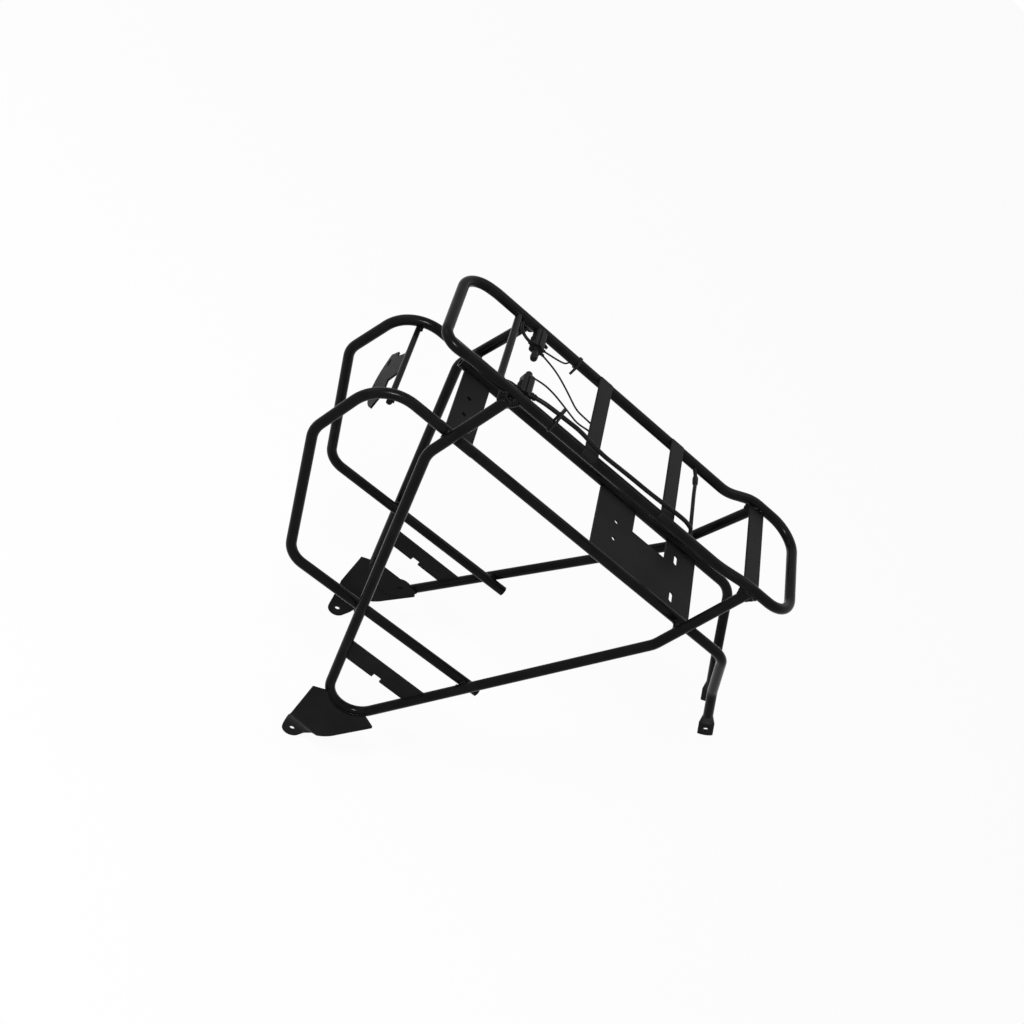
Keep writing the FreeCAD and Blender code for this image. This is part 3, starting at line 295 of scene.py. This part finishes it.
# lug inside the left U-bend, and the tab of the lamp bracket under its rod
lug = round_bend(1, lug_bead_radius, 205, 44, -0.0062)
tab = [run((lamp_rod_x + shift, -0.009, 0.3907), (lamp_rod_x + shift, 0.021, 0.3907))
       for shift in (-0.0015, 0.0015)]
weld("weld_leg_tops", leg_tops, 0.0025, rounds=14)
weld("weld_rods", rods, 0.0012)
weld("weld_hoops", hoops, 0.0025)
weld("weld_rails", rails, 0.0019)
weld("weld_cross_plates", plates, 0.0011)
weld("weld_tie_bars", ties, 0.0012)
weld("weld_axle_plates", axles, 0.0012)
weld("weld_deck_strips", strips, 0.0009)
weld("weld_lug", [lug], 0.0011)
weld("weld_lamp_tab", tab, 0.001)
bpy.data.objects.remove(drop)


# Threaded sleeves: a pair of blind rivet nuts pressed into the holes of the rear plate from below.
# Turned steel tubes with a thin flange, blackened, which leave the plate's holes open.
sleeve_x, sleeve_y, sleeve_top = -0.1148, 0.0135, 0.39935
flange, body, bulge, bore = 0.0045, 0.0037, 0.0042, 0.0026
sleeve_length = 0.0086
sleeve_profile = ((0.0008, flange), (0, body), (0.0030, body), (0.0012, bulge), (0.0014, body),
                  (0.0022, body), (0, bore), (-sleeve_length, bore), (0, flange))
bpy.ops.object.select_all(action="DESELECT")
sleeve_middle = (sleeve_x, sleeve_y, sleeve_top)
bpy.ops.mesh.primitive_circle_add(vertices=28, radius=flange, location=sleeve_middle)
bpy.ops.object.transform_apply(location=True, rotation=True, scale=True)
first_sleeve = bpy.context.object
bpy.ops.object.mode_set(mode="EDIT")
bpy.ops.mesh.select_all(action="SELECT")
radius = flange
for fall, next_radius in sleeve_profile:
    bpy.ops.mesh.extrude_region_move(TRANSFORM_OT_translate={"value": (0, 0, -fall)})
    spread = next_radius / radius
    bpy.ops.transform.resize(value=(spread, spread, 1), center_override=sleeve_middle)
    radius = next_radius
bpy.ops.mesh.select_all(action="SELECT")
bpy.ops.mesh.remove_doubles(threshold=0.00002)
bpy.ops.mesh.normals_make_consistent(inside=False)
bpy.ops.object.mode_set(mode="OBJECT")
bpy.ops.object.shade_smooth_by_angle(angle=math.radians(35))
first_sleeve.data.materials.append(sheet_paint)
second_sleeve = first_sleeve.copy()
second_sleeve.data = first_sleeve.data.copy()
second_sleeve.data.transform(Matrix.Translation((0, -2 * sleeve_y, 0)))
bpy.context.collection.objects.link(second_sleeve)
for number, nut in ((1, first_sleeve), (2, second_sleeve)):
    nut.name = "rear_plate_sleeve_%d" % number
    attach(nut, "root")


# Plugs: a moulded housing with a rib and a round cap on each deck rail.
# Injection-moulded black plastic with a faint spark-eroded grain, clipped to the rail.
def mottled(name, shine, scale, dark, light):
    """A black finish whose tone wavers a little; gives the material, its shader and its pattern."""
    finish = bpy.data.materials.new(name)
    finish.use_nodes = True
    tree = finish.node_tree
    shader = tree.nodes["Principled BSDF"]
    shader.inputs["Specular IOR Level"].default_value = shine
    place = tree.nodes.new("ShaderNodeTexCoord")
    grain = tree.nodes.new("ShaderNodeTexNoise")
    grain.inputs["Scale"].default_value = scale
    tone = tree.nodes.new("ShaderNodeValToRGB")
    tone.color_ramp.elements[0].color = dark
    tone.color_ramp.elements[1].color = light
    tree.links.new(place.outputs["Object"], grain.inputs["Vector"])
    tree.links.new(grain.outputs["Fac"], tone.inputs["Fac"])
    tree.links.new(tone.outputs["Color"], shader.inputs["Base Color"])
    return finish, shader, grain


plug_plastic, shader, grain = mottled("plug_plastic", shine=0.06, scale=2200,
                                      dark=(0.003, 0.003, 0.0034, 1), light=(0.007, 0.007, 0.0076, 1))
shader.inputs["Roughness"].default_value = 0.3
grain.inputs["Detail"].default_value = 2
pit = plug_plastic.node_tree.nodes.new("ShaderNodeBump")
pit.inputs["Strength"].default_value = 0.2
pit.inputs["Distance"].default_value = 0.0001
plug_plastic.node_tree.links.new(grain.outputs["Fac"], pit.inputs["Height"])
plug_plastic.node_tree.links.new(pit.outputs["Normal"], shader.inputs["Normal"])
dress(("plug_left", "plug_right", "plug_cap_left", "plug_cap_right"), plug_plastic)


# Plug mouldings: ribbed collars where leads leave, an elbow, rings on the caps, grip ridges and a latch.
# Moulded in one with the housings, in the same black plastic.
def round_edges():
    """Rounds the edges of the shape at hand and gives it."""
    shape = bpy.context.object
    bpy.ops.object.modifier_add(type="BEVEL")
    shape.modifiers[-1].width = 0.0003
    shape.modifiers[-1].segments = 2
    bpy.ops.object.modifier_apply(modifier=shape.modifiers[-1].name)
    bpy.ops.object.shade_smooth_by_angle(angle=math.radians(40))
    return shape


def moulding(piece, name, spot, way):
    """Stands a shape on a spot along a way and finishes it as plug plastic."""
    piece.name = name
    piece.data.transform(Matrix.Translation(spot) @ Vector(way).to_track_quat("Z", "X").to_matrix().to_4x4())
    piece.data.materials.append(plug_plastic)
    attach(piece, "root")


def collar(name, spot, way, foot, steps):
    """A round collar that grows from its foot in steps, each so far up and so much wider or narrower."""
    bpy.ops.object.select_all(action="DESELECT")
    bpy.ops.mesh.primitive_circle_add(vertices=24, radius=foot, fill_type="NGON")
    bpy.ops.object.mode_set(mode="EDIT")
    bpy.ops.mesh.select_all(action="SELECT")
    for rise, spread in steps:
        bpy.ops.mesh.extrude_region_move(TRANSFORM_OT_translate={"value": (0, 0, rise)})
        bpy.ops.transform.resize(value=(spread, spread, 1))
    bpy.ops.mesh.select_all(action="SELECT")
    bpy.ops.mesh.normals_make_consistent(inside=False)
    bpy.ops.object.mode_set(mode="OBJECT")
    moulding(round_edges(), name, spot, way)


def block(size):
    """A block of a size, left in edit mode with its top face selected."""
    bpy.ops.object.select_all(action="DESELECT")
    bpy.ops.mesh.primitive_cube_add(size=1)
    bpy.ops.object.mode_set(mode="EDIT")
    bpy.ops.mesh.select_all(action="SELECT")
    bpy.ops.transform.resize(value=size)
    bpy.ops.mesh.select_all(action="DESELECT")
    bpy.ops.object.mode_set(mode="OBJECT")
    for face in bpy.context.object.data.polygons:
        face.select = face.normal.z > 0.9
    bpy.ops.object.mode_set(mode="EDIT")


ribbed = [(0.0011, 1), (0.0002, 0.8), (0.0006, 1), (0.0002, 1.18), (0.0007, 0.97), (0.0002, 0.78),
          (0.0007, 0.95)]
stepped = [(0.002, 0.97), (0.0003, 0.86), (0.0009, 1), (0.0003, 1.14), (0.0013, 0.95), (0.0003, 0.86),
           (0.0012, 0.97)]
collar("collar_lead_left", (-0.0976, 0.0338, 0.485), (1, 0.2, 0), 0.0019, ribbed)
collar("collar_lead_cross", (-0.0977, 0.0272, 0.485), (1, -0.25, 0), 0.0018, ribbed)
collar("collar_lead_right", (-0.1007, -0.0176, 0.485), (1, 0.3, 0), 0.0017, ribbed)
collar("collar_lamp_cable", (-0.0978, -0.0484, 0.4877), (0.9, -0.15, 0.3), 0.0036, stepped)
collar("collar_tail_left", (-0.1104, 0.0302, 0.4852), (-1, 0, 0), 0.0027, ribbed)
collar("collar_tail_right", (-0.1104, -0.0486, 0.4852), (-1, -0.05, 0), 0.0027, ribbed)

# elbow from the right plug over to the rail
elbow_radius, elbow_bend, elbow_neck = 0.0033, 0.0050, 0.0015
bpy.ops.object.select_all(action="DESELECT")
bpy.ops.mesh.primitive_circle_add(vertices=20, radius=elbow_radius, fill_type="NGON")
bpy.ops.object.mode_set(mode="EDIT")
bpy.ops.mesh.select_all(action="SELECT")
bpy.ops.transform.resize(value=(1, 0.85, 1))
bpy.ops.mesh.extrude_region_move(TRANSFORM_OT_translate={"value": (0, 0, elbow_neck)})
bpy.ops.mesh.spin(steps=10, angle=math.radians(105), center=(elbow_bend, 0, elbow_neck), axis=(0, 1, 0))
bpy.ops.mesh.select_all(action="SELECT")
bpy.ops.mesh.remove_doubles(threshold=0.00001)
bpy.ops.mesh.normals_make_consistent(inside=False)
bpy.ops.object.mode_set(mode="OBJECT")
bpy.context.object.data.transform(Matrix.Rotation(math.radians(180), 4, "Z"))
moulding(round_edges(), "plug_elbow_right", (-0.1100, -0.0525, 0.4870), (-0.85, -0.5, 0.1))

# rings on the caps
ring = [(0.0004, 1.08), (0.0012, 1), (0.0004, 0.93)]
collar("cap_ring_left", (-0.104, 0.0262, 0.485), (0, -1, 0), 0.0041, ring)
collar("cap_ring_left_end", (-0.104, 0.0152, 0.485), (0, -1, 0), 0.0036, ring)
collar("cap_ring_right", (-0.104, -0.0262, 0.485), (0, 1, 0), 0.0041, ring)

# grip ridges across the back of each housing
grip_x, first_grip_y, grip_pitch, grip_z = -0.1107, 0.0365, 0.0026, 0.4845
block((0.0066, 0.0012, 0.0008))
bpy.ops.mesh.extrude_region_move(TRANSFORM_OT_translate={"value": (0, 0, 0.0004)})
bpy.ops.transform.resize(value=(0.9, 0.55, 1))
bpy.ops.object.mode_set(mode="OBJECT")
ridge = round_edges()
for side, name in ((1, "left"), (-1, "right")):
    for i in range(4):
        grip = ridge.copy()
        grip.data = ridge.data.copy()
        bpy.context.collection.objects.link(grip)
        moulding(grip, "grip_%s_%d" % (name, i + 1), (grip_x, side * (first_grip_y + grip_pitch * i), grip_z),
                 (-1, 0, 0))
bpy.data.objects.remove(ridge)

# latch on the left plug
block((0.003, 0.0036, 0.003))
for rise, spread in ((0.0008, (0.7, 0.85, 1)), (0.0016, (1.3, 1, 1))):
    bpy.ops.mesh.extrude_region_move(TRANSFORM_OT_translate={"value": (0, 0, rise)})
    bpy.ops.transform.resize(value=spread)
bpy.ops.object.mode_set(mode="OBJECT")
moulding(round_edges(), "plug_latch", (-0.0965, 0.043, 0.485), (1, -0.1, 0))


# Cable ties: a band round each deck rail with a square head, and a cut end.
# Nylon moulded in one, pulled tight by hand and snipped.
tie_nylon, shader, stretch = mottled("tie_nylon", shine=0.1, scale=420,
                                     dark=(0.004, 0.004, 0.0044, 1), light=(0.010, 0.010, 0.0106, 1))
gloss = tie_nylon.node_tree.nodes.new("ShaderNodeMapRange")
gloss.inputs["To Min"].default_value = 0.3
gloss.inputs["To Max"].default_value = 0.45
tie_nylon.node_tree.links.new(stretch.outputs["Fac"], gloss.inputs["Value"])
tie_nylon.node_tree.links.new(gloss.outputs["Result"], shader.inputs["Roughness"])
dress(("cable_tie_left", "cable_tie_right"), tie_nylon)


# Leads: three thin wires from the plugs, and a thicker lamp cable along the right rail.
# Stranded copper in a soft black sheath, held at the plugs and lying over the deck strips.
sheath, shader = mottled("cable_sheath", shine=0.07, scale=160,
                         dark=(0.003, 0.003, 0.0034, 1), light=(0.007, 0.007, 0.0076, 1))[:2]
shader.inputs["Roughness"].default_value = 0.4
wire_diameter, lamp_cable_diameter = 0.0018, 0.0045


def lead(name, route, diameter):
    curve = bpy.data.curves.new(name + "_sheath", "CURVE")
    curve.dimensions = "3D"
    curve.bevel_depth = diameter / 2
    curve.bevel_resolution = 4
    curve.use_fill_caps = True
    curve.resolution_u = 16
    line = curve.splines.new("NURBS")
    line.points.add(len(route) - 1)
    for point, spot in zip(line.points, route):
        point.co = (*spot, 1)
    line.order_u = 3
    line.use_endpoint_u = True
    piece = bpy.data.objects.new(name + "_sheath", curve)
    bpy.context.collection.objects.link(piece)
    curve.materials.append(sheath)
    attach(piece, "root")
    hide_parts(name)


lead("lead_left", [(-0.0969, 0.0338, 0.485), (-0.086, 0.0363, 0.485), (-0.075, 0.0396, 0.485),
                   (-0.067, 0.0444, 0.4845), (-0.0637, 0.053, 0.4834)],
     wire_diameter)
lead("lead_cross", [(-0.097, 0.0266, 0.485), (-0.0864, 0.0236, 0.4852), (-0.0747, 0.0183, 0.4852),
                    (-0.0631, 0.0093, 0.485), (-0.0538, 0, 0.485), (-0.0445, -0.0106, 0.4854),
                    (-0.0366, -0.015, 0.4872), (-0.0284, -0.0176, 0.4885), (-0.0215, -0.0194, 0.4887)],
     wire_diameter)
lead("lead_right", [(-0.0994, -0.0172, 0.485), (-0.0879, -0.0134, 0.4853), (-0.0736, -0.0144, 0.4853),
                    (-0.0608, -0.0187, 0.485), (-0.0494, -0.0238, 0.485), (-0.0416, -0.0286, 0.4857),
                    (-0.0342, -0.0302, 0.4872), (-0.0274, -0.0303, 0.4885), (-0.0208, -0.031, 0.4887)],
     wire_diameter)
lead("lamp_cable", [(-0.097, -0.0485, 0.488), (-0.088, -0.05, 0.4915), (-0.076, -0.053, 0.4946),
                    (-0.059, -0.0542, 0.496), (-0.042, -0.0534, 0.4964), (-0.026, -0.0568, 0.4961),
                    (-0.010, -0.0592, 0.4956), (0.008, -0.0564, 0.4946), (0.028, -0.0548, 0.4943),
                    (0.048, -0.0553, 0.4948), (0.066, -0.0557, 0.4959), (0.081, -0.0544, 0.496),
                    (0.095, -0.0508, 0.4944), (0.106, -0.047, 0.4915), (0.1126, -0.046, 0.4886)],
     lamp_cable_diameter)


# Cross cable: a cable from rail to rail ahead of the second strip, with a sleeve over its join.
# The same soft sheath. The sleeve is heat-shrink tube, slipped over the join and shrunk tight.
cross_cable_diameter = 0.004
sleeve_foot = 0.0022
sleeve_steps = ((0.0008, 1.28), (0.0025, 1.06), (0.003, 1), (0.003, 0.97), (0.0016, 0.95), (0.0008, 0.8))
sleeve_start, sleeve_way = (0.11335, 0.0415, 0.485), (0.0004, -0.0117, 0.0002)
bpy.ops.object.select_all(action="DESELECT")
bpy.ops.mesh.primitive_circle_add(vertices=20, radius=sleeve_foot, fill_type="NGON")
sleeve = bpy.context.object
sleeve.name = "cross_cable_sleeve"
bpy.ops.object.mode_set(mode="EDIT")
bpy.ops.mesh.select_all(action="SELECT")
for rise, spread in sleeve_steps:
    bpy.ops.mesh.extrude_region_move(TRANSFORM_OT_translate={"value": (0, 0, rise)})
    bpy.ops.transform.resize(value=(spread, spread, 1))
bpy.ops.mesh.select_all(action="SELECT")
bpy.ops.mesh.normals_make_consistent(inside=False)
bpy.ops.object.mode_set(mode="OBJECT")
bpy.ops.object.shade_smooth_by_angle(angle=math.radians(50))
sleeve.data.transform(Matrix.Translation(sleeve_start)
                      @ Vector(sleeve_way).to_track_quat("Z", "X").to_matrix().to_4x4())
sleeve.data.materials.append(sheath)
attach(sleeve, "root")
lead("cross_cable", [(0.1112, 0.054, 0.4846), (0.1134, 0.043, 0.485), (0.1139, 0.031, 0.4853),
                     (0.1135, 0.014, 0.4854), (0.1143, -0.006, 0.4852), (0.115, -0.024, 0.4848),
                     (0.1166, -0.039, 0.4836), (0.119, -0.0515, 0.4816)],
     cross_cable_diameter)


# Plug tails: short leads from the rails into the backs of the plugs.
# The same soft sheath. The right one is too short to count as a cord, so it has no length here.
tail_diameter = 0.0032
lead("plug_tail_left", [(-0.1108, 0.0302, 0.4852), (-0.1166, 0.0302, 0.4854), (-0.1219, 0.0333, 0.4855),
                        (-0.125, 0.0386, 0.4854), (-0.1258, 0.0464, 0.4851), (-0.1253, 0.0541, 0.4848)],
     tail_diameter)
lead("plug_tail_right", [(-0.1108, -0.0486, 0.4852), (-0.117, -0.0492, 0.4855), (-0.1225, -0.0506, 0.4854),
                         (-0.1272, -0.0527, 0.4848)],
     tail_diameter)


# Studio: a plain white floor that fades into a white background, lit by a small key, a fill and a top lamp.
# Floor and background show white to the camera and in reflections, and the floor keeps a faint shadow.
def looked_at(tree):
    """One where a ray comes from the camera, a reflection or a clear piece, and otherwise nought."""
    path = tree.nodes.new("ShaderNodeLightPath")
    seen = tree.nodes.new("ShaderNodeMath")
    seen.operation = "MAXIMUM"
    mirror = tree.nodes.new("ShaderNodeMath")
    mirror.operation = "MAXIMUM"
    tree.links.new(path.outputs["Is Camera Ray"], seen.inputs[0])
    tree.links.new(path.outputs["Is Glossy Ray"], seen.inputs[1])
    tree.links.new(seen.outputs["Value"], mirror.inputs[0])
    tree.links.new(path.outputs["Is Transmission Ray"], mirror.inputs[1])
    return mirror.outputs["Value"]


floor_z = -0.0115
bpy.ops.object.select_all(action="DESELECT")
bpy.ops.mesh.primitive_plane_add(size=12, location=(0, 0, floor_z))
floor = bpy.context.object
floor.name = "floor"
floor_white = bpy.data.materials.new("floor_white")
floor_white.use_nodes = True
tree = floor_white.node_tree
ground = tree.nodes["Principled BSDF"]
ground.inputs["Base Color"].default_value = (0.8, 0.8, 0.8, 1)
ground.inputs["Roughness"].default_value = 0.9
glow = tree.nodes.new("ShaderNodeEmission")
glow.inputs["Color"].default_value = (1, 1, 1, 1)
share = tree.nodes.new("ShaderNodeMath")
share.operation = "MULTIPLY"
share.inputs[1].default_value = 0.94
blend = tree.nodes.new("ShaderNodeMixShader")
tree.links.new(looked_at(tree), share.inputs[0])
tree.links.new(share.outputs["Value"], blend.inputs["Fac"])
tree.links.new(ground.outputs["BSDF"], blend.inputs[1])
tree.links.new(glow.outputs["Emission"], blend.inputs[2])
tree.links.new(blend.outputs["Shader"], tree.nodes["Material Output"].inputs["Surface"])
floor.data.materials.append(floor_white)

world = bpy.data.worlds.new("studio")
bpy.context.scene.world = world
world.use_nodes = True
tree = world.node_tree
soft_light = tree.nodes["Background"]
soft_light.inputs["Color"].default_value = (1, 1, 1, 1)
soft_light.inputs["Strength"].default_value = 0.35
white = tree.nodes.new("ShaderNodeBackground")
white.inputs["Color"].default_value = (1, 1, 1, 1)
white.inputs["Strength"].default_value = 1.0
blend = tree.nodes.new("ShaderNodeMixShader")
tree.links.new(looked_at(tree), blend.inputs["Fac"])
tree.links.new(soft_light.outputs["Background"], blend.inputs[1])
tree.links.new(white.outputs["Background"], blend.inputs[2])
tree.links.new(blend.outputs["Shader"], tree.nodes["World Output"].inputs["Surface"])

lamp_aim = Vector((0, 0, 0.30))
for name, spot, width, power in (
    ("key", Vector((-0.95, -1.10, 1.66)), 0.36, 34),
    ("fill", Vector((-2.2, 0.4, 1.2)), 1.2, 6),
    ("top", Vector((0.3, 0.3, 2.4)), 1.2, 6),
):
    lamp = bpy.data.lights.new(name, "AREA")
    lamp.shape = "RECTANGLE"
    lamp.size = width
    lamp.size_y = width
    lamp.energy = power
    stand = bpy.data.objects.new(name, lamp)
    stand.location = spot
    stand.rotation_euler = (lamp_aim - spot).to_track_quat("-Z", "Y").to_euler()
    bpy.context.collection.objects.link(stand)


# Camera: where the photograph was taken from, above and behind the right side, rolled with the rack.
# Its place, turn and focal length were solved from the parallel runs in the picture.
picture_pixels = 1024
focal_pixels = 1590
lens = bpy.data.cameras.new("camera")
lens.sensor_fit = "HORIZONTAL"
lens.sensor_width = 36
lens.lens = lens.sensor_width * focal_pixels / picture_pixels
lens.clip_end = 50
camera = bpy.data.objects.new("camera", lens)
right = Vector((0.73616, 0.16414, 0.6566))
up = Vector((-0.59839, 0.61112, 0.51813))
back = Vector((-0.31622, -0.77433, 0.5481))
eye = Vector((-0.5110, -1.2559, 1.2267))
camera.matrix_world = Matrix((
    (right.x, up.x, back.x, eye.x),
    (right.y, up.y, back.y, eye.y),
    (right.z, up.z, back.z, eye.z),
    (0, 0, 0, 1),
))
bpy.context.collection.objects.link(camera)
bpy.context.scene.camera = camera
bpy.context.scene.view_settings.view_transform = "Standard"
